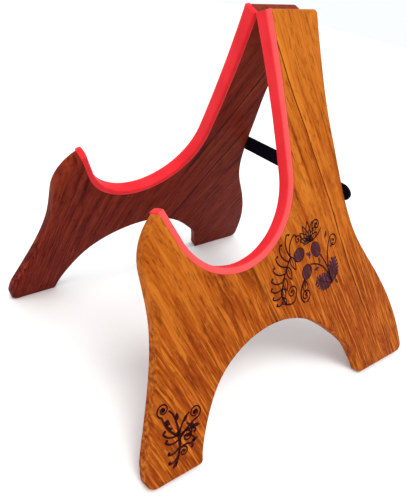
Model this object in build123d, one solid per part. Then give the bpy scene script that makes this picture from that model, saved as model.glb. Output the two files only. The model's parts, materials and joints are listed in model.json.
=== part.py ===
"""Folding two-panel wooden stand with a padded cradle notch.

Two mirrored panels stand as a tent. A small butt hinge joins their top inner edges, a
flexible strap across the rear edges limits the spread, and both notches carry a pad.

World frame: X across the stand, +Y to the rear, +Z up, floor at Z = 0.
Panel frame: x runs rearward along the hinge line, y runs up the panel, z runs outward
from the middle plane. The hinge line is y = 0, z = 0.
"""
from build123d import *
import math
import os

os.makedirs("parts", exist_ok=True)

# ---- driving dimensions, millimetres and degrees ----
HALF_ANGLE = 22.5          # each panel leans this much from the middle plane
AXIS_RISE = 5.9            # the hinge line climbs this much towards the rear
PANEL_T = 12.0
FACE_GAP = 0.3             # inner face to the middle plane when folded
FOOT_DROP = 328.9          # hinge line to floor, measured down the panel at x = 0
FOOT_EXTRA = 1.3           # extra wood at the feet, planed off level with the floor
EDGE_R = 2.5               # round-over of the exposed long edges
MIDDLE_Y = 26.44           # world Y of the panel frame's x = 0; centres the stand on Y

NOTCH_X = -106.0           # centre and radius of the round part of the cradle notch
NOTCH_Y = -118.0
NOTCH_R = 61.5
UPRIGHT_R = 948.0          # gentle hollow of the upright above the notch
FLARE = 24.0               # the horn's inner side leaves the notch circle here
HORN_TIP_Y = -120.0

PAD_T = 5.0
PAD_EDGE_R = 1.6
PAD_TIP = 1.0              # how far the pad runs past the horn tip

HINGE_X = -24.0            # middle of the hinge along the top edge
HINGE_L = 38.0
LEAF_T = 1.2
LEAF_H = 16.0
LEAF_SEAT = 0.05           # the leaf stands this far below the wood's face
KNUCKLE_R = 2.2
PIN_R = 1.0
PIN_CLEAR = 0.05
PIN_HEAD_R = 1.6
PIN_HEAD_L = 0.8
KNUCKLES = 5
KNUCKLE_GAP = 0.15
COVE_CLEAR = 0.5           # room between the knuckle and the wood
HINGE_SCREW_R = 0.9
HINGE_SCREW_L = 8.0
HINGE_HEAD_R = 2.0
HINGE_HEAD_H = 1.0
HINGE_SCREW_DX = 12.0
HINGE_SCREW_Y = -10.0

STRAP_Y = -144.5           # centre of the strap, measured down the panel
STRAP_SEAT = 1.2           # strap face to the middle of the wood's rear edge
STRAP_L = 147.0
STRAP_W = 16.5
STRAP_T = 2.4
STRAP_SCREW_X = 61.0
STRAP_SCREW_R = 1.5
STRAP_SCREW_L = 16.0
STRAP_HOLE_R = 1.8
WASHER_R = 4.2
WASHER_T = 0.8
HEAD_R = 3.0
HEAD_H = 1.7

RISE = math.radians(AXIS_RISE)
LEAN = math.radians(HALF_ANGLE)
FLOOR_SLOPE = math.tan(RISE) / math.cos(LEAN)
HINGE_Z = FOOT_DROP * math.cos(LEAN) * math.cos(RISE)


# ---- shapes in the panel frame ----
def foot_y(x):
    """Height of the foot cut at x, a little below the floor line."""
    return -(FOOT_DROP + FLOOR_SLOPE * x + FOOT_EXTRA)


def on_circle(angle, radius):
    """Point on the notch circle; 0 degrees is its rear side and 90 its bottom."""
    a = math.radians(angle)
    return (NOTCH_X + radius * math.cos(a), NOTCH_Y - radius * math.sin(a))


def notch_path(inset, overrun):
    """Notch edge from the top edge to the horn tip, moved into the notch by inset."""
    r = NOTCH_R - inset
    side = on_circle(0, r)
    low = on_circle(90, r)
    leave = on_circle(180 - FLARE, r)
    big = UPRIGHT_R - inset
    big_x = side[0] - big
    half = math.asin(-NOTCH_Y / big) / 2
    top = (big_x + big * math.cos(2 * half), 0)
    mid = (big_x + big * math.cos(half), NOTCH_Y + big * math.sin(half))
    wood_leave = on_circle(180 - FLARE, NOTCH_R)
    flare = math.radians(FLARE)
    run = (HORN_TIP_Y - wood_leave[1]) / math.cos(flare) + overrun
    tip = (leave[0] - run * math.sin(flare), leave[1] + run * math.cos(flare))
    return [ThreePointArc(top, mid, side), ThreePointArc(side, low, leave), Line(leave, tip)]


def rear_edge():
    """Rear edge of the panel, from the heel up to the top corner."""
    heel = (106.8, foot_y(106.8))
    return Spline(heel, (94.3, -292.7), (60.4, -230.2), (30.6, -182), (12.4, -113), (0, 0),
                  tangents=[(-0.15, 1), (-0.03, 1)])


def wood_outline():
    """Panel outline as a face, with its corners rounded in the plane."""
    notch = notch_path(0, 0)
    rear = rear_edge()
    top = notch[0] @ 0
    tip = notch[2] @ 1
    heel = rear @ 0
    nose = ThreePointArc(tip, (-184.6, -133.5), (-190, -155))
    toe = (-218.5, foot_y(-218.5))
    arch_front = (-171, foot_y(-171))
    arch_rear = (29, foot_y(29))
    front = Spline(nose @ 1, (-189.6, -187), (-199.8, -236), (-214, -277), toe,
                   tangents=[nose % 1, (0, -1)])
    arch = Spline(arch_front, (-162.8, -284), (-143, -253.5), (-91, -233.4), (-38, -248.5),
                  (0.5, -282), arch_rear, tangents=[(0.1, 1), (0.36, -1)])
    lines = notch + [nose, front, Line(toe, arch_front), arch, Line(arch_rear, heel), rear,
                     Line((0, 0), top)]
    face = make_face(Wire(lines).edges())
    rounded = ((toe, 8), (heel, 7), (arch_front, 3.5), (arch_rear, 3.5), ((0, 0), 3.6))
    for spot, radius in rounded:
        corner = face.vertices().sort_by_distance((*tuple(spot)[:2], 0))[0]
        face = fillet(corner, radius)
    return face


def at_notch(point):
    """True on the notch edge, which stays square under the pad."""
    span = math.hypot(point.X - NOTCH_X, point.Y - NOTCH_Y)
    round_part = point.Y < NOTCH_Y and span < NOTCH_R + 2
    upright = -54 < point.X < -44 and point.Y > NOTCH_Y
    horn = -174 < point.X < -162 and point.Y > -145
    return round_part or upright or horn


def lies_flat(edge):
    """True for an edge in one of the panel's faces, not across its thickness."""
    return edge.bounding_box().size.Z < 1e-6


def rod_x(middle, length, radius):
    """Round bar along the hinge line."""
    return Pos(middle, 0, 0) * Rot(0, 90, 0) * Cylinder(radius, length)


def block(x_low, x_high, y_low, y_high, z_low, z_high):
    """Box given by its limits."""
    box = Box(x_high - x_low, y_high - y_low, z_high - z_low)
    return Pos((x_low + x_high) / 2, (y_low + y_high) / 2, (z_low + z_high) / 2) * box


def countersunk(shank_r, length, head_r, head_h):
    """Countersunk screw body along +Z, its flat head at Z = 0."""
    bottom = Align.MIN
    cone = Pos(0, 0, head_h / 2) * Cone(head_r, shank_r, head_h)
    shank = Cylinder(shank_r, length, align=(Align.CENTER, Align.CENTER, bottom))
    return cone + shank


# ---- pieces in the panel frame ----
LEAF_FACE = FACE_GAP + LEAF_SEAT
KNUCKLE_L = (HINGE_L - (KNUCKLES - 1) * KNUCKLE_GAP) / KNUCKLES
HINGE_SPOTS = [(HINGE_X + i * HINGE_SCREW_DX, HINGE_SCREW_Y, LEAF_FACE) for i in (-1, 0, 1)]


def hinge_screws(extra=0.0):
    """The leaf's countersunk screws; extra widens them into the leaf's holes."""
    one = countersunk(HINGE_SCREW_R + extra, HINGE_SCREW_L, HINGE_HEAD_R + extra, HINGE_HEAD_H)
    return [Pos(*spot) * one for spot in HINGE_SPOTS]


def hinge_leaf(first):
    """Leaf whose knuckles are every second one, counted from first."""
    low = HINGE_X - HINGE_L / 2
    clear = KNUCKLE_R + 0.35
    leaf = block(low, low + HINGE_L, -LEAF_H, -clear, LEAF_FACE, LEAF_FACE + LEAF_T)
    for k in range(first, KNUCKLES, 2):
        start = low + k * (KNUCKLE_L + KNUCKLE_GAP)
        leaf += block(start, start + KNUCKLE_L, -clear, -1.25, LEAF_FACE, LEAF_FACE + LEAF_T)
        leaf += rod_x(start + KNUCKLE_L / 2, KNUCKLE_L, KNUCKLE_R)
    leaf -= rod_x(HINGE_X, HINGE_L + 2, PIN_R + PIN_CLEAR)
    for screw in hinge_screws(0.03):
        leaf -= screw
    return leaf


def hinge_pin():
    """Pin with a small head against each end knuckle."""
    pin = rod_x(HINGE_X, HINGE_L, PIN_R)
    for end in (-1, 1):
        head_x = HINGE_X + end * (HINGE_L + PIN_HEAD_L) / 2
        pin += rod_x(head_x, PIN_HEAD_L, PIN_HEAD_R)
    return pin


def panel():
    """Wooden side panel with its mortise, its cove round the knuckle and its pilot holes."""
    wood = Pos(0, 0, FACE_GAP) * extrude(wood_outline(), PANEL_T, dir=(0, 0, 1))
    soft = [edge for edge in wood.edges() if lies_flat(edge) and not at_notch(edge.center())]
    wood = fillet(soft, EDGE_R)
    half = HINGE_L / 2 + 0.1
    wood -= block(HINGE_X - half, HINGE_X + half, -LEAF_H - 0.1, 1, -1, LEAF_FACE + LEAF_T)
    wood -= rod_x(HINGE_X, HINGE_L + 2 * PIN_HEAD_L + 1, KNUCKLE_R + COVE_CLEAR)
    for screw in hinge_screws():
        wood -= screw
    return wood


def cradle_pad():
    """Soft strip glued along the notch edge, its two open corners rounded."""
    outer = notch_path(0, PAD_TIP)
    inner = notch_path(PAD_T, PAD_TIP)
    ends = [Line(outer[0] @ 0, inner[0] @ 0), Line(outer[2] @ 1, inner[2] @ 1)]
    strip = make_face(Wire(outer + inner + ends).edges())
    pad = Pos(0, 0, FACE_GAP) * extrude(strip, PANEL_T, dir=(0, 0, 1))
    open_side = Wire(inner)
    soft = []
    for edge in pad.edges():
        at = edge.center()
        if lies_flat(edge) and open_side.distance_to(Vector(at.X, at.Y, 0)) < 0.01:
            soft.append(edge)
    return fillet(soft, PAD_EDGE_R)


# ---- placing in the world ----
def place(shape, side):
    """Lean a panel-frame shape outward on the +X side, or mirrored on the -X side."""
    along = (0, math.cos(RISE), math.sin(RISE))
    outward = (math.cos(LEAN), -math.sin(LEAN) * math.sin(RISE), math.sin(LEAN) * math.cos(RISE))
    plane = Plane(origin=(0, MIDDLE_Y, HINGE_Z), x_dir=along, z_dir=outward)
    placed = plane.location * shape
    return placed if side > 0 else mirror(placed, about=Plane.YZ)


def above_floor(shape):
    """Plane the feet off level with the floor."""
    return shape - Pos(0, 0, -20) * Box(600, 600, 40)


def strap_plane():
    """Plane of the strap's front face: x across the stand, y up it, z out to the rear."""
    rear = rear_edge()
    steps = [i / 400 for i in range(401)]
    t = min(steps, key=lambda s: abs((rear @ s).Y - STRAP_Y))
    spot = rear @ t
    run = rear % t
    y = MIDDLE_Y + spot.X * math.cos(RISE) - spot.Y * math.cos(LEAN) * math.sin(RISE)
    z = HINGE_Z + spot.X * math.sin(RISE) + spot.Y * math.cos(LEAN) * math.cos(RISE)
    up_y = run.X * math.cos(RISE) - run.Y * math.cos(LEAN) * math.sin(RISE)
    up_z = run.X * math.sin(RISE) + run.Y * math.cos(LEAN) * math.cos(RISE)
    tilt = math.atan2(-up_y, up_z)
    out = Vector(0, math.cos(tilt), math.sin(tilt))
    return Plane(origin=Vector(0, y, z) + out * STRAP_SEAT, x_dir=(-1, 0, 0), z_dir=out)


def spreader_strap():
    """Flat band with round ends and two screw holes."""
    band = extrude(SlotOverall(STRAP_L, STRAP_W), STRAP_T, dir=(0, 0, 1))
    band = fillet(band.edges().filter_by(lies_flat), 0.5)
    for end in (-1, 1):
        band -= Pos(end * STRAP_SCREW_X, 0, 0) * Cylinder(STRAP_HOLE_R, 3 * STRAP_T)
    return strap_plane().location * band


def strap_screw(side):
    """Pan-head screw through the strap's end into the wood's rear edge."""
    top = STRAP_T + WASHER_T
    shank = Cylinder(STRAP_SCREW_R, STRAP_SCREW_L, align=(Align.CENTER, Align.CENTER, Align.MAX))
    head = Cylinder(HEAD_R, HEAD_H, align=(Align.CENTER, Align.CENTER, Align.MIN))
    head = fillet(head.edges().group_by(Axis.Z)[-1], 1.0)
    head -= Pos(0, 0, HEAD_H) * Box(0.8, 3.6, 1.4)
    head -= Pos(0, 0, HEAD_H) * Box(3.6, 0.8, 1.4)
    screw = Pos(0, 0, top) * (shank + head)
    return strap_plane().location * Pos(-side * STRAP_SCREW_X, 0, 0) * screw


def strap_washer(side):
    """Flat washer between the screw head and the strap."""
    ring = Cylinder(WASHER_R, WASHER_T, align=(Align.CENTER, Align.CENTER, Align.MIN))
    ring -= Cylinder(STRAP_SCREW_R + 0.2, 4 * WASHER_T)
    spot = Pos(-side * STRAP_SCREW_X, 0, STRAP_T)
    return strap_plane().location * spot * ring


def build():
    """Every piece in the world frame, by node name."""
    wood = panel()
    pad = cradle_pad()
    screws = Part() + hinge_screws()
    parts = {}
    for name, side, first in (("left", -1, 0), ("right", 1, 1)):
        edge_screw = strap_screw(side)
        parts[f"{name}_panel"] = above_floor(place(wood, side)) - edge_screw
        parts[f"{name}_cradle_pad"] = place(pad, side)
        parts[f"hinge_leaf_{name}"] = place(hinge_leaf(first), side)
        parts[f"hinge_screws_{name}"] = place(screws, side)
        parts[f"strap_screw_{name}"] = edge_screw
        parts[f"strap_washer_{name}"] = strap_washer(side)
    parts["hinge_pin"] = place(hinge_pin(), -1)
    parts["spreader_strap"] = spreader_strap()
    return parts


def main():
    parts = build()
    for name, shape in parts.items():
        export_step(shape, f"parts/{name}.step")
    plane = strap_plane()
    print("hinge line through", (0, MIDDLE_Y, round(HINGE_Z, 3)), "rising", AXIS_RISE, "degrees")
    print("strap face through", plane.origin, "facing", plane.z_dir)


main()
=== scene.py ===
"""Looks of the folding wooden stand: oiled wood, red cradle pads, strap, hardware, ornament.

Metres throughout. Panel frame: x runs rearward along the hinge line, y up the panel and z
outward from the middle plane; panel_point() turns it into the row frame.
"""
import json
import math

import bpy
import bmesh
from mathutils import Matrix, Vector, noise


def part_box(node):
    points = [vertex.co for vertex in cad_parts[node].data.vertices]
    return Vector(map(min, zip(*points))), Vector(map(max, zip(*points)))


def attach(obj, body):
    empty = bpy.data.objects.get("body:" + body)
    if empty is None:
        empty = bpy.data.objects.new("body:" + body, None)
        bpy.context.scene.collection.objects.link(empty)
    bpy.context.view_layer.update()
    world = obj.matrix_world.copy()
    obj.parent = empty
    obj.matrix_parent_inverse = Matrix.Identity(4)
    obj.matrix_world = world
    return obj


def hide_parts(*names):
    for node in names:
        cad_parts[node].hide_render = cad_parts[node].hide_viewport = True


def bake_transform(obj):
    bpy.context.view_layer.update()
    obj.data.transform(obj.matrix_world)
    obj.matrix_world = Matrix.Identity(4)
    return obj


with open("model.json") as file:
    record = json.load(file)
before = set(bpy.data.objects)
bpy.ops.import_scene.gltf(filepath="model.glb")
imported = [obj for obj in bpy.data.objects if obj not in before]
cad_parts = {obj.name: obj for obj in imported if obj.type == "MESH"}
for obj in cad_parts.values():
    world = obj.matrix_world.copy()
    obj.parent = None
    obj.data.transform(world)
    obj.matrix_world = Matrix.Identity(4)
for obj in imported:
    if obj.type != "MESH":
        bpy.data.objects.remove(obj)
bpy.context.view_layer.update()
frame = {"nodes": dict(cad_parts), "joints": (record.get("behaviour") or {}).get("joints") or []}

# ---- the frame's own facts ----
FOLD = frame["joints"][0]
HINGE = Vector(FOLD["pos_m"])
ALONG = Vector(FOLD["axis"]).normalized()
LEAN = math.radians(FOLD["range_deg"][1] / 2)
BODY = {1: "right_side", -1: "left_side"}

# ---- sizes repeated from the part ----
FACE_GAP = 0.0003
PANEL_T = 0.012
OUTER_FACE = FACE_GAP + PANEL_T
NOTCH = Vector((-0.106, -0.118))
NOTCH_R = 0.0615
UPRIGHT_R = 0.948
FLARE = math.radians(24)
HORN_TIP_Y = -0.120
PAD_T = 0.005
PAD_TIP = 0.001
STRAP_T = 0.0024
STRAP_W = 0.0165
STRAP_LEAN = math.atan2(0.3397, 0.9405)

# ---- details that only the looks have ----
STRAP_TIP = 0.0003
STRAP_WAVE = 0.00012
PAD_ROUND = 0.0019
PAD_INSET = 0.0004
PAD_CROWN = 0.0002
PAD_WAVE = 0.00018
PAD_DRIFT = 0.00022
ORNAMENT_PROUD = 0.00006

# ---- camera and light ----
CAMERA_AT = Vector((0.2630, -0.3034, 0.3118))
AZIMUTH = math.radians(43.8)
ELEVATION = math.radians(29.5)
ROLL = math.radians(12.4)
LENS = 34.1
SUN_FROM = Vector((0.75, -0.35, 1.75))
SUN_POWER = 1.7
SUN_SPREAD = math.radians(25)
SKY = (0.955, 0.99, 1.0, 1)
FLOOR_HALF = 6


def panel_axes(side):
    """Panel frame's x, y and z directions in the row frame for the +X or -X panel."""
    outward = Vector((math.cos(LEAN), -math.sin(LEAN) * ALONG.z, math.sin(LEAN) * ALONG.y))
    up = outward.cross(ALONG)
    if side < 0:
        return ALONG.copy(), Vector((-up.x, up.y, up.z)), Vector((-outward.x, outward.y, outward.z))
    return ALONG.copy(), up, outward


def panel_point(side, x, y, z):
    """Row-frame place of a panel-frame point."""
    along, up, outward = panel_axes(side)
    return HINGE + along * x + up * y + outward * z


def new_piece(name, verts, faces, material, smooth=True):
    """Mesh object from vertices and faces."""
    mesh = bpy.data.meshes.new(name)
    mesh.from_pydata([tuple(v) for v in verts], [], faces)
    mesh.update()
    tidy = bmesh.new()
    tidy.from_mesh(mesh)
    bmesh.ops.recalc_face_normals(tidy, faces=tidy.faces)
    tidy.to_mesh(mesh)
    tidy.free()
    for face in mesh.polygons:
        face.use_smooth = smooth
    piece = bpy.data.objects.new(name, mesh)
    bpy.context.scene.collection.objects.link(piece)
    mesh.materials.append(material)
    return piece


def loft_faces(rings, ring):
    """Side faces through rings of ring points each, with both ends closed."""
    faces = []
    for i in range(rings - 1):
        for k in range(ring):
            k2 = (k + 1) % ring
            faces.append((i * ring + k, i * ring + k2, (i + 1) * ring + k2, (i + 1) * ring + k))
    faces.append(tuple(range(ring)))
    faces.append(tuple(range((rings - 1) * ring, rings * ring)))
    return faces


def heading(angle):
    """Unit vector at an angle in degrees, and the one to its left."""
    a = math.radians(angle)
    run = Vector((math.cos(a), math.sin(a)))
    return run, Vector((-run.y, run.x))


def side_word(side):
    return "right" if side > 0 else "left"


# ---- node helpers ----
class Nodes:
    """Short way to write a material's node tree."""

    def __init__(self, name):
        self.material = bpy.data.materials.new(name)
        self.material.use_nodes = True
        self.tree = self.material.node_tree
        self.shader = self.tree.nodes["Principled BSDF"]

    def set(self, node, socket, value):
        """Link a socket, or store a plain value."""
        if isinstance(value, bpy.types.NodeSocket):
            self.tree.links.new(value, node.inputs[socket])
        else:
            node.inputs[socket].default_value = value

    def add(self, kind, output=0, props=None, **sockets):
        """New node; sockets are named with _ for a space, or in0, in1 for a number."""
        node = self.tree.nodes.new(kind)
        for key, value in (props or {}).items():
            setattr(node, key, value)
        for key, value in sockets.items():
            name = int(key[2:]) if key[:2] == "in" and key[2:].isdigit() else key.replace("_", " ")
            self.set(node, name, value)
        return node.outputs[output]

    def math(self, operation, a, b=0.0, c=0.0):
        """Math node."""
        return self.add("ShaderNodeMath", props={"operation": operation}, in0=a, in1=b, in2=c)

    def combine(self, x, y, z):
        return self.add("ShaderNodeCombineXYZ", X=x, Y=y, Z=z)

    def noise(self, vector, scale, detail=3.0, rough=0.5, distortion=0.0):
        """Grey noise from 0 to 1."""
        return self.add("ShaderNodeTexNoise", Vector=vector, Scale=scale, Detail=detail,
                        Roughness=rough, Distortion=distortion)

    def fade(self, value, low, high, to_low=0.0, to_high=1.0):
        """Smooth step of value from low to high."""
        return self.add("ShaderNodeMapRange", props={"interpolation_type": "SMOOTHSTEP"}, in0=value,
                        in1=low, in2=high, in3=to_low, in4=to_high)

    def mix(self, factor, a, b, blend="MIX"):
        """Colour mix; a and b are colours or sockets."""
        node = self.tree.nodes.new("ShaderNodeMix")
        node.data_type = "RGBA"
        node.blend_type = blend
        for index, value in ((0, factor), (6, a), (7, b)):
            if isinstance(value, tuple) and len(value) == 3:
                value = (*value, 1.0)
            self.set(node, index, value)
        return node.outputs[2]

    def ramp(self, factor, stops):
        """Colour ramp from (position, colour) pairs."""
        node = self.tree.nodes.new("ShaderNodeValToRGB")
        elements = node.color_ramp.elements
        while len(elements) < len(stops):
            elements.new(0.5)
        for element, (position, colour) in zip(elements, stops):
            element.position = position
            element.color = (*colour, 1.0)
        self.set(node, 0, factor)
        return node.outputs[0]

    def bump(self, height, strength, distance):
        normal = self.add("ShaderNodeBump", Height=height, Strength=strength, Distance=distance)
        self.set(self.shader, "Normal", normal)

    def own_place(self):
        return self.add("ShaderNodeTexCoord", output=3)


def panel_place(nodes, side):
    """Shading position in the panel frame, as x, y and z sockets."""
    rows = Matrix([tuple(axis) for axis in panel_axes(side)])
    if side < 0:
        rows = Matrix([tuple(-rows[0]), tuple(rows[1]), tuple(rows[2])])
    turn = rows.to_euler()
    shift = -(rows @ HINGE)
    moved = nodes.add("ShaderNodeMapping", Vector=nodes.own_place(), Location=tuple(shift),
                      Rotation=tuple(turn))
    split = nodes.tree.nodes.new("ShaderNodeSeparateXYZ")
    nodes.set(split, 0, moved)
    x = split.outputs[0]
    if side < 0:
        x = nodes.math("MULTIPLY", x, -1.0)
    return x, split.outputs[1], split.outputs[2]


def wood(name, side, slant, fan_x, fan, colours, lines):
    """Oiled hardwood whose grain slants or fans out down the panel.

    A grain line keeps (x + fan_x + slant * y) * exp(fan * y) constant.
    colours are dark, mid, light and foot. Each of lines is a growth line: its grain place, half
    width, strength (below 0 for a light line), and the y of its top and lower end.
    """
    n = Nodes(name)
    x, y, z = panel_place(n, side)
    place = n.combine(x, y, z)
    drift = n.math("SUBTRACT", n.noise(place, 9.0, 2.0), 0.5)
    grow = n.math("EXPONENT", n.math("MULTIPLY", y, fan))
    across = n.math("MULTIPLY_ADD", y, slant, n.math("ADD", x, fan_x))
    across = n.math("MULTIPLY", across, grow)
    across = n.math("MULTIPLY_ADD", drift, 0.010, across)

    def stretched(share, depth=0.6):
        return n.combine(across, n.math("MULTIPLY", y, share), n.math("MULTIPLY", z, depth))

    rings = n.noise(stretched(0.10), 105.0, 3.0, 0.5, 0.3)
    streaks = n.noise(stretched(0.05), 520.0, 3.0, 0.55)
    fibre = n.noise(stretched(0.10), 1300.0, 2.0, 0.6)
    dashes = n.fade(n.noise(stretched(0.16), 620.0, 2.0, 0.5), 0.56, 0.70)
    flecks = n.fade(n.noise(stretched(0.20), 480.0, 2.0, 0.5), 0.56, 0.72)
    mottle = n.noise(stretched(0.45), 190.0, 4.0, 0.65)
    blotch = n.noise(place, 26.0, 3.0)

    dark, mid, light, foot = colours
    low_part = n.fade(y, -0.15, -0.24)
    base = n.ramp(rings, [(0.32, dark), (0.46, mid), (0.66, light), (0.85, mid)])
    # Painted highlight: both panels are made lighter towards their top edge.
    base = n.mix(n.math("MULTIPLY", n.fade(y, -0.10, -0.02), 0.70), base, light)
    base = n.mix(n.math("MULTIPLY", n.fade(y, -0.13, -0.27), 0.72), base, foot)
    mottle_strength = n.math("MULTIPLY_ADD", low_part, -0.30, 0.50)
    base = n.mix(n.math("MULTIPLY", n.fade(mottle, 0.52, 0.72), mottle_strength), base, dark)
    base = n.mix(n.math("MULTIPLY", n.fade(mottle, 0.48, 0.30), mottle_strength), base, light)
    streak_strength = n.math("MULTIPLY_ADD", low_part, 0.50, 0.30)
    base = n.mix(n.math("MULTIPLY", n.fade(streaks, 0.51, 0.63), streak_strength), base, dark)
    base = n.mix(n.math("MULTIPLY", n.fade(streaks, 0.47, 0.36), streak_strength), base, light)
    base = n.mix(n.fade(blotch, 0.48, 0.75, 0.0, 0.35), base, foot)
    for spot, width, strength, top, low in lines:
        off = n.math("ABSOLUTE", n.math("SUBTRACT", across, spot))
        band = n.fade(off, width * 0.35, width, 1.0, 0.0)
        held = n.math("MULTIPLY", n.fade(y, low - 0.03, low), n.fade(y, top, top + 0.01, 1.0, 0.0))
        band = n.math("MULTIPLY", n.math("MULTIPLY", band, held), abs(strength))
        tone = [c * 0.3 for c in dark] if strength > 0 else [c * 1.25 for c in light]
        base = n.mix(band, base, tuple(tone))
    base = n.mix(n.math("MULTIPLY", flecks, 0.30), base, light)
    base = n.mix(n.math("MULTIPLY", dashes, 0.50), base, tuple(c * 0.45 for c in dark))
    n.set(n.shader, "Base Color", base)
    wear = n.math("MULTIPLY_ADD", dashes, 0.4, streaks)
    n.set(n.shader, "Roughness", n.fade(wear, 0.3, 1.0, 0.42, 0.62))
    n.set(n.shader, "Specular IOR Level", 0.02)
    n.bump(n.math("SUBTRACT", n.math("MULTIPLY", fibre, 0.35), dashes), 0.22, 0.00022)
    return n.material


def rubber(side):
    """Red soft pad: deep red skin, outer edge paler coral as painted light on its lit side, dust-fine
    relief.
    """
    n = Nodes("red_pad_" + side_word(side))
    place = n.own_place()
    z = panel_place(n, side)[2]
    cloud = n.noise(place, 45.0, 3.0)
    grain = n.noise(place, 1800.0, 2.0)
    skin = n.ramp(cloud, [(0.25, (0.66, 0.014, 0.022)), (0.55, (0.76, 0.020, 0.030)),
                          (0.80, (0.80, 0.028, 0.040))])
    # Painted light: the pad's outer edge is paler coral, standing in for its lit side.
    painted_lit_edge = n.mix(cloud, (0.76, 0.055, 0.060), (0.84, 0.100, 0.095))
    outer_edge = n.fade(z, OUTER_FACE - 0.0026, OUTER_FACE - 0.0004)
    n.set(n.shader, "Base Color", n.mix(outer_edge, skin, painted_lit_edge))
    n.set(n.shader, "Roughness", n.fade(grain, 0.2, 0.8, 0.46, 0.62))
    n.set(n.shader, "Specular IOR Level", 0.10)
    n.bump(n.math("MULTIPLY_ADD", cloud, 0.6, grain), 0.12, 0.0002)
    return n.material


def leather():
    """Black strap leather with pebbled grain and paler rubbed patches."""
    n = Nodes("black_strap")
    place = n.own_place()
    cells = n.add("ShaderNodeTexVoronoi", Vector=place, Scale=950.0, Randomness=1.0)
    rub = n.noise(place, 120.0, 4.0)
    colour = n.ramp(rub, [(0.30, (0.0015, 0.0010, 0.0045)), (0.60, (0.003, 0.002, 0.008)),
                          (0.85, (0.008, 0.006, 0.014))])
    n.set(n.shader, "Base Color", colour)
    n.set(n.shader, "Roughness", n.fade(rub, 0.3, 0.8, 0.55, 0.75))
    n.set(n.shader, "Specular IOR Level", 0.04)
    n.bump(cells, 0.35, 0.00025)
    return n.material


def metal(name, bright, dull, rough, scratch_scale):
    """Aged metal: bright where rubbed, duller in patches, fine scratches."""
    n = Nodes(name)
    place = n.own_place()
    patch = n.noise(place, 260.0, 5.0, 0.65)
    fine = n.noise(n.add("ShaderNodeMapping", Vector=place, Scale=(1.0, 0.05, 1.0)), scratch_scale, 2.0)
    n.set(n.shader, "Base Color", n.mix(n.fade(patch, 0.35, 0.65), dull, bright))
    n.set(n.shader, "Metallic", 1.0)
    n.set(n.shader, "Roughness", n.fade(n.math("ADD", patch, fine), 0.6, 1.4, rough, rough + 0.2))
    n.bump(fine, 0.15, 0.00008)
    return n.material


def burned(name, side, deep, pale):
    """Burned drawing: uneven, with the grain showing through."""
    n = Nodes(name)
    x, y, z = panel_place(n, side)
    slanted = n.math("MULTIPLY_ADD", y, 0.37, x)
    streak = n.noise(n.combine(slanted, n.math("MULTIPLY", y, 0.08), z), 600.0, 3.0)
    char = n.noise(n.combine(x, y, z), 260.0, 4.0)
    colour = n.mix(n.fade(streak, 0.40, 0.70), deep, pale)
    n.set(n.shader, "Base Color", n.mix(n.fade(char, 0.45, 0.75, 0.0, 0.6), colour, deep))
    n.set(n.shader, "Roughness", n.fade(char, 0.2, 0.8, 0.62, 0.85))
    n.set(n.shader, "Specular IOR Level", 0.02)
    n.bump(char, 0.3, 0.0002)
    return n.material


def floor_cloth():
    """Pale floor, very slightly uneven in tone."""
    n = Nodes("pale_floor")
    cloud = n.noise(n.own_place(), 2.2, 3.0)
    n.set(n.shader, "Base Color", n.mix(cloud, (0.86, 0.865, 0.87), (0.90, 0.895, 0.89)))
    n.set(n.shader, "Roughness", 0.9)
    n.set(n.shader, "Specular IOR Level", 0.15)
    n.bump(n.noise(n.own_place(), 260.0, 2.0), 0.05, 0.0005)
    return n.material


# ---- the cradle pads ----
def notch_route(inset, overrun, step=0.0025):
    """Points of the notch edge moved into the notch by inset, with directions into it."""
    r = NOTCH_R - inset
    big = UPRIGHT_R - inset
    big_centre = Vector((NOTCH.x + r - big, NOTCH.y))
    reach = math.asin(-NOTCH.y / big)
    points = []
    count = round(-NOTCH.y / step)
    for i in range(count):
        a = reach * (1 - i / count)
        out = Vector((math.cos(a), math.sin(a)))
        points.append((big_centre + out * big, -out))
    sweep = math.pi - FLARE
    count = round(sweep * r / step)
    for i in range(count + 1):
        a = -sweep * i / count
        out = Vector((math.cos(a), math.sin(a)))
        points.append((NOTCH + out * r, -out))
    leave, inward = points[-1]
    run = (HORN_TIP_Y - NOTCH.y + NOTCH_R * math.sin(FLARE)) / math.cos(FLARE) + overrun
    ahead = Vector((-math.sin(FLARE), math.cos(FLARE)))
    count = max(2, round(run / step))
    for i in range(1, count + 1):
        points.append((leave + ahead * run * i / count, inward))
    return points


def pad_profile():
    """Cross-section of the pad: (depth into the notch, place across the edge)."""
    half = PANEL_T / 2
    r = PAD_ROUND
    low = PAD_INSET
    shape = [(0.0, -half + low), (low, -half), (PAD_T * 0.45, -half - 0.00012)]
    for i in range(7):
        a = math.radians(90 * i / 6)
        shape.append((PAD_T - r + r * math.sin(a), -half + r - r * math.cos(a)))
    shape += [(PAD_T + PAD_CROWN * 0.75, -half * 0.35), (PAD_T + PAD_CROWN, 0.0)]
    mirrored = [(d, -w) for d, w in reversed(shape[:-1])]
    return shape + mirrored


def cradle_pad(side, material):
    """Soft strip along the notch, with faint unevenness along its length."""
    route = notch_route(0.0, PAD_TIP)
    profile = pad_profile()
    middle = FACE_GAP + PANEL_T / 2
    verts = []
    for i, (at, inward) in enumerate(route):
        wave = noise.noise(Vector((i * 0.13, side * 5.0, 0.0))) * PAD_WAVE
        drift = noise.noise(Vector((i * 0.05, side * 9.0, 4.0))) * PAD_DRIFT
        for depth, width in profile:
            deep = depth * (1 + wave / PAD_T) if depth > PAD_INSET * 2.5 else depth
            spot = at + inward * deep
            verts.append(panel_point(side, spot.x, spot.y, middle + width + drift * (depth / PAD_T)))
    faces = loft_faces(len(route), len(profile))
    piece = new_piece("cradle_pad_soft_" + side_word(side), verts, faces, material)
    bevel = piece.modifiers.new("cut_ends", "BEVEL")
    bevel.width = 0.0005
    bevel.segments = 2
    bevel.limit_method = "ANGLE"
    bevel.angle_limit = math.radians(60)
    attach(piece, BODY[side])
    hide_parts(side_word(side) + "_cradle_pad")


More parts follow.
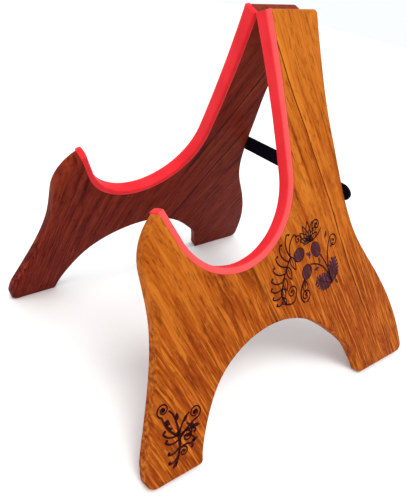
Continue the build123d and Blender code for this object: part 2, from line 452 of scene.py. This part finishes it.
# ---- the strap ----
def strap(material):
    """Flat leather band lying on both rear edges, straight and taut between them."""
    low, high = [Vector(corner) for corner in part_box("spreader_strap")]
    half_length = high.x
    middle = (low + high) / 2
    across = Vector((0, -math.sin(STRAP_LEAN), math.cos(STRAP_LEAN)))
    out = Vector((0, math.cos(STRAP_LEAN), math.sin(STRAP_LEAN)))
    columns = 96
    ring = 40
    verts = []
    for i in range(columns + 1):
        t = -math.cos(math.pi * i / columns)
        x = t * half_length
        end = max(0.0, abs(x) - (half_length - STRAP_W / 2))
        width = STRAP_W / 2 * math.sqrt(max(0.0, 1 - (end / (STRAP_W / 2)) ** 2))
        width = max(width, STRAP_TIP)
        lift = STRAP_WAVE * noise.noise(Vector((x * 60, 0.0, 2.0)))
        for k in range(ring):
            a = 2 * math.pi * k / ring
            w = math.copysign(abs(math.cos(a)) ** 0.35, math.cos(a)) * width
            d = math.copysign(abs(math.sin(a)) ** 0.55, math.sin(a)) * STRAP_T / 2
            verts.append(Vector((x, middle.y, middle.z)) + across * w + out * (d + lift))
    faces = loft_faces(columns + 1, ring)
    piece = new_piece("spreader_strap_leather", verts, faces, material)
    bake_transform(piece)
    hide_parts("spreader_strap")


# ---- the burned ornament ----
class Ornament:
    """Flat line work drawn in the panel frame, in millimetres, then laid on a face."""

    def __init__(self):
        self.verts = []
        self.faces = []
        self.shaded = []

    def ribbon(self, points, wide, narrow=None):
        """Stroke along points whose width tapers from wide to narrow."""
        narrow = wide if narrow is None else narrow
        start = len(self.verts)
        count = len(points)
        for i, point in enumerate(points):
            ahead = points[min(i + 1, count - 1)]
            behind = points[max(i - 1, 0)]
            run = Vector((ahead[0] - behind[0], ahead[1] - behind[1])).normalized()
            half = (wide + (narrow - wide) * i / (count - 1)) / 2
            self.verts.append((point[0] - run.y * half, point[1] + run.x * half))
            self.verts.append((point[0] + run.y * half, point[1] - run.x * half))
        for i in range(count - 1):
            a = start + 2 * i
            self.faces.append((a, a + 1, a + 3, a + 2))

    def curve(self, a, b, c, wide, narrow=None):
        """Stroke along the arc-like bend from a to c, pulled towards b."""
        steps = 18
        points = []
        for i in range(steps + 1):
            t = i / steps
            points.append(tuple(a[k] * (1 - t) ** 2 + 2 * b[k] * t * (1 - t) + c[k] * t * t
                                for k in (0, 1)))
        self.ribbon(points, wide, narrow)

    def spiral(self, centre, radius, start, turns, wide):
        """Curl that winds in from radius to its centre; negative turns wind clockwise."""
        steps = int(abs(turns) * 26)
        points = []
        for i in range(steps + 1):
            t = i / steps
            r = radius * (1 - 0.84 * t)
            a = math.radians(start + 360 * turns * t)
            points.append((centre[0] + r * math.cos(a), centre[1] + r * math.sin(a)))
        self.ribbon(points, wide, wide * 0.75)
        self.dot(points[-1], wide * 0.95)

    def dot(self, centre, radius):
        """Filled spot."""
        start = len(self.verts)
        count = 14
        for i in range(count):
            a = 2 * math.pi * i / count
            self.verts.append((centre[0] + radius * math.cos(a), centre[1] + radius * math.sin(a)))
        self.faces.append(tuple(range(start, start + count)))

    def petal(self, base, angle, length, width, line=0.0):
        """Almond leaf; filled, or only its outline when line is given."""
        run, off = heading(angle)
        steps = 12
        sides = []
        for sign in (1, -1):
            row = []
            for i in range(steps + 1):
                t = i / steps
                bulge = math.sin(math.pi * t ** 0.8) * width / 2
                spot = Vector(base) + run * length * t + off * bulge * sign
                row.append((spot.x, spot.y))
            sides.append(row)
        if line:
            self.ribbon(sides[0], line)
            self.ribbon(sides[1], line)
            self.ribbon([base, tuple(Vector(base) + run * length * 0.7)], line * 0.8, line * 0.3)
            return
        self.fill(sides[0] + sides[1][-2:0:-1])

    def fill(self, loop):
        """Closed patch in the paler burned tone."""
        start = len(self.verts)
        self.verts += loop
        self.shaded.append(len(self.faces))
        self.faces.append(tuple(range(start, start + len(loop))))

    def bud(self, centre, long, short, angle):
        """Filled oval with a dark outline."""
        run, off = heading(angle)
        loop = []
        for i in range(20):
            a = 2 * math.pi * i / 20
            spot = Vector(centre) + run * math.cos(a) * long / 2 + off * math.sin(a) * short / 2
            loop.append(tuple(spot))
        self.fill(loop)
        self.ribbon([*loop, loop[0]], 0.8)

    def plume(self, at, angle, length, wide):
        """Feather barb that bows out and hooks back at its tip."""
        run, off = heading(angle)
        start = Vector(at)
        tip = start + run * length
        self.curve(at, tuple(start + run * length * 0.55 + off * length * 0.30), tuple(tip), wide, wide)
        hook = tip - off * length * 0.20
        self.curve(tuple(tip), tuple(tip + run * 2.0 - off * 1.2), tuple(hook), wide, wide * 0.8)
        self.dot(tuple(hook), wide * 0.75)

    def toothed(self, base, angle, length, width):
        """Broad filled leaf with small teeth along both edges."""
        self.petal(base, angle, length, width)
        run, off = heading(angle)
        for i in range(1, 8):
            bulge = math.sin(math.pi * (i / 8) ** 0.8) * width / 2
            for sign in (1, -1):
                at = Vector(base) + run * length * i / 8 + off * sign * (bulge - 1.0)
                self.petal(tuple(at), angle + sign * 52, 4.2, 2.6)
        self.ribbon([base, tuple(Vector(base) + run * length * 0.8)], 0.9, 0.4)

    def lay(self, name, side, line, tint):
        """Put the drawing just proud of the panel's outer face."""
        z = OUTER_FACE + ORNAMENT_PROUD
        verts = [panel_point(side, x / 1000, y / 1000, z) for x, y in self.verts]
        piece = new_piece(name, verts, self.faces, line, smooth=False)
        piece.data.materials.append(tint)
        for index in self.shaded:
            piece.data.polygons[index].material_index = 1
        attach(piece, BODY[side])


def large_motif():
    """Feathered frond, fan of petals, round buds, two toothed leaves and curls."""
    o = Ornament()
    stem = ((-57, -184), (-62, -191), (-67, -199), (-70, -207), (-71, -215), (-67, -222))
    for a, b in zip(stem, stem[1:]):
        o.ribbon([a, b], 1.5)
    barbs = ((0, 72, 17), (0, 100, 18), (0.5, 124, 17), (1, 142, 15), (1.6, 156, 14), (2.3, 166, 13),
             (3, 174, 12), (3.7, 184, 10), (4.4, 196, 8))
    for place, angle, length in barbs:
        a, b = stem[int(place)], stem[int(place) + 1]
        share = place - int(place)
        o.plume((a[0] + (b[0] - a[0]) * share, a[1] + (b[1] - a[1]) * share), angle, length, 1.4)
    for (x, y), angle, length in zip(stem, (-68, -72, -78, -80, -60), (14, 13, 12, 10, 8)):
        o.petal((x, y), angle, length, 5.2, line=1.2)
    o.curve((-67, -222), (-55, -228), (-53.5, -214), 1.6, 1.2)
    o.spiral((-59, -214), 5.6, 0, 1.4, 1.3)
    fan = (-32.5, -178)
    for angle, length in ((28, 12), (50, 15), (72, 17), (94, 18), (116, 17), (138, 15), (160, 12)):
        o.petal(fan, angle, length, 5.0, line=1.05)
        o.petal(fan, angle, length * 0.55, 2.0)
    o.spiral((-22.5, -166), 5.6, 230, -1.5, 1.4)
    o.curve(fan, (-22, -178), (-16.5, -170), 1.5, 1.2)
    o.spiral((-46.5, -172.5), 4.4, -60, 1.3, 1.2)
    o.bud((-46.5, -185.5), 13, 11.5, 10)
    o.bud((-25, -187), 15, 10.5, -60)
    o.bud((-38.5, -203), 13, 12, 60)
    o.toothed((-6, -224), 80, 24, 12)
    o.toothed((-6, -224), 157, 24, 12)
    o.curve((-6, -224), (-10, -205), (-20, -193), 1.6, 1.3)
    o.curve((-7, -222), (-14, -201), (-33, -198), 1.6, 1.3)
    o.curve((-10, -211), (-12, -187), (-3, -180), 1.5, 1.2)
    o.spiral((-1.5, -186), 6.0, 100, -1.2, 1.3)
    o.curve((-42, -208), (-54, -222), (-44, -229), 1.9, 1.6)
    o.spiral((-42.5, -223), 6.2, -90, 1.4, 1.5)
    o.petal((-43, -209), -80, 13, 6, line=1.1)
    o.petal((-43, -209), -78, 8, 3.4)
    for x, y, angle in ((-38, -187, -25), (-34, -193, 85), (-22, -195, -80), (-29, -205, 10),
                        (-40, -180, 60), (-12, -181, 70), (-6, -191, 30), (-2, -222, -50)):
        o.petal((x, y), angle, 7, 2.8)
    return o


def small_motif():
    """Twin scrolls over a stem thick with hooked tendrils and small leaves, on the front foot."""
    o = Ornament()
    o.spiral((-196.5, -250.5), 5.4, 250, -1.7, 1.3)
    o.spiral((-171.5, -265.5), 5.4, 290, 1.7, 1.3)
    o.dot((-196.5, -250.5), 1.9)
    o.dot((-171.5, -265.5), 1.9)
    o.curve((-198.5, -255.6), (-197, -268), (-188, -276), 1.5, 2.0)
    o.curve((-192.5, -253), (-187, -258), (-187.5, -276), 1.3, 2.0)
    o.curve((-169.7, -270.6), (-176, -271), (-187, -278), 1.5, 2.0)
    o.curve((-176, -263), (-184, -266), (-187.5, -276), 1.3, 1.8)
    o.curve((-188, -272), (-186, -284), (-195, -298), 3.4, 1.5)
    o.spiral((-181.5, -280), 5.2, 160, -1.4, 1.6)
    o.spiral((-186.5, -290), 4.4, 150, -1.4, 1.5)
    for x, y, angle, length in ((-189, -275, 150, 12), (-189, -279, 165, 10), (-190, -285, 190, 8),
                                (-192, -291, 200, 7), (-186, -276, -8, 12), (-184, -279, -35, 10),
                                (-188, -286, -15, 10), (-192, -268, 120, 8), (-180, -270, -70, 9)):
        o.plume((x, y), angle, length, 1.6)
    for x, y, angle in ((-193, -264, 130), (-187, -264, 85), (-182, -268, 50), (-176, -272, -75),
                        (-175, -275, -20), (-179, -287, 10), (-193, -294, 225)):
        o.petal((x, y), angle, 6.5, 3.2)
    return o


# ---- build the scene ----
honey = ((0.175, 0.026, 0.003), (0.360, 0.075, 0.005), (0.540, 0.155, 0.016), (0.265, 0.043, 0.004))
# Painted shade: the left panel's tones are the same wood made much darker and redder, for its inner
# face turned away from the light.
painted_shade_tones = ((0.048, 0.004, 0.003), (0.150, 0.014, 0.007), (0.240, 0.032, 0.011), (0.135, 0.010, 0.006))
right_lines = ((0.1115, 0.0009, 0.90, -0.004, -0.250), (0.1135, 0.0013, -0.55, -0.004, -0.250),
               (0.0030, 0.0022, 0.55, -0.150, -0.235))
left_lines = ((0.2955, 0.0018, 0.8, -0.05, -0.15), (0.3447, 0.0022, 0.8, -0.11, -0.24))
wood_by_side = {
    1: wood("honey_wood", 1, 0.37, 0.170, 0.0, honey, right_lines),
    -1: wood("wood_in_painted_shade", -1, 0.0, 0.280, -1.6, painted_shade_tones, left_lines),
}
red = {side: rubber(side) for side in (1, -1)}
brass = metal("aged_brass", (0.30, 0.20, 0.09), (0.13, 0.085, 0.045), 0.35, 3000.0)
brass_screw = metal("brass_screws", (0.36, 0.25, 0.11), (0.17, 0.11, 0.05), 0.32, 3500.0)
steel = metal("black_steel", (0.16, 0.16, 0.17), (0.05, 0.05, 0.055), 0.38, 3200.0)
washer = metal("dark_washer", (0.22, 0.22, 0.23), (0.09, 0.09, 0.095), 0.34, 2600.0)
black = leather()
burned_line = ((0.022, 0.0035, 0.0035), (0.052, 0.010, 0.009))
burned_tint = ((0.050, 0.013, 0.016), (0.105, 0.034, 0.042))

by_node = {"hinge_leaf_left": brass, "hinge_leaf_right": brass, "hinge_pin": brass,
           "hinge_screws_left": brass_screw, "hinge_screws_right": brass_screw,
           "strap_screw_left": steel, "strap_screw_right": steel,
           "strap_washer_left": washer, "strap_washer_right": washer,
           "left_panel": wood_by_side[-1], "right_panel": wood_by_side[1],
           "left_cradle_pad": red[-1], "right_cradle_pad": red[1], "spreader_strap": black}
for name, node in frame["nodes"].items():
    node.data.materials.clear()
    node.data.materials.append(by_node[name])

for side in (1, -1):
    word = side_word(side)
    cradle_pad(side, red[side])
    burn = burned("burned_line_" + word, side, *burned_line)
    tint = burned("burned_tint_" + word, side, *burned_tint)
    large_motif().lay("burned_frond_" + word, side, burn, tint)
    small_motif().lay("burned_scroll_" + word, side, burn, burn)
strap(black)

# ---- floor, light and camera ----
corners = [(-FLOOR_HALF, -FLOOR_HALF, 0), (FLOOR_HALF, -FLOOR_HALF, 0),
           (FLOOR_HALF, FLOOR_HALF, 0), (-FLOOR_HALF, FLOOR_HALF, 0)]
floor = new_piece("floor", corners, [(0, 1, 2, 3)], floor_cloth())

key = bpy.data.lights.new("key", "SUN")
key.energy = SUN_POWER
key.angle = SUN_SPREAD
key.color = (1.0, 0.985, 0.96)
lamp = bpy.data.objects.new("key", key)
lamp.rotation_euler = SUN_FROM.to_track_quat("Z", "Y").to_euler()
bpy.context.scene.collection.objects.link(lamp)

world = bpy.data.worlds.new("studio")
world.use_nodes = True
world.node_tree.nodes["Background"].inputs[0].default_value = SKY
world.node_tree.nodes["Background"].inputs[1].default_value = 1.0
bpy.context.scene.world = world
bpy.context.scene.view_settings.view_transform = "Standard"

away = Vector((math.sin(AZIMUTH) * math.cos(ELEVATION), -math.cos(AZIMUTH) * math.cos(ELEVATION),
               math.sin(ELEVATION)))
level = (-away).cross(Vector((0, 0, 1))).normalized()
top = level.cross(-away)
right = level * math.cos(ROLL) + top * math.sin(ROLL)
up = -level * math.sin(ROLL) + top * math.cos(ROLL)
lens = bpy.data.cameras.new("camera")
lens.lens = LENS
camera = bpy.data.objects.new("camera", lens)
turn = Matrix((right, up, away)).transposed()
camera.matrix_world = Matrix.Translation(CAMERA_AT) @ turn.to_4x4()
bpy.context.scene.collection.objects.link(camera)
bpy.context.scene.camera = camera
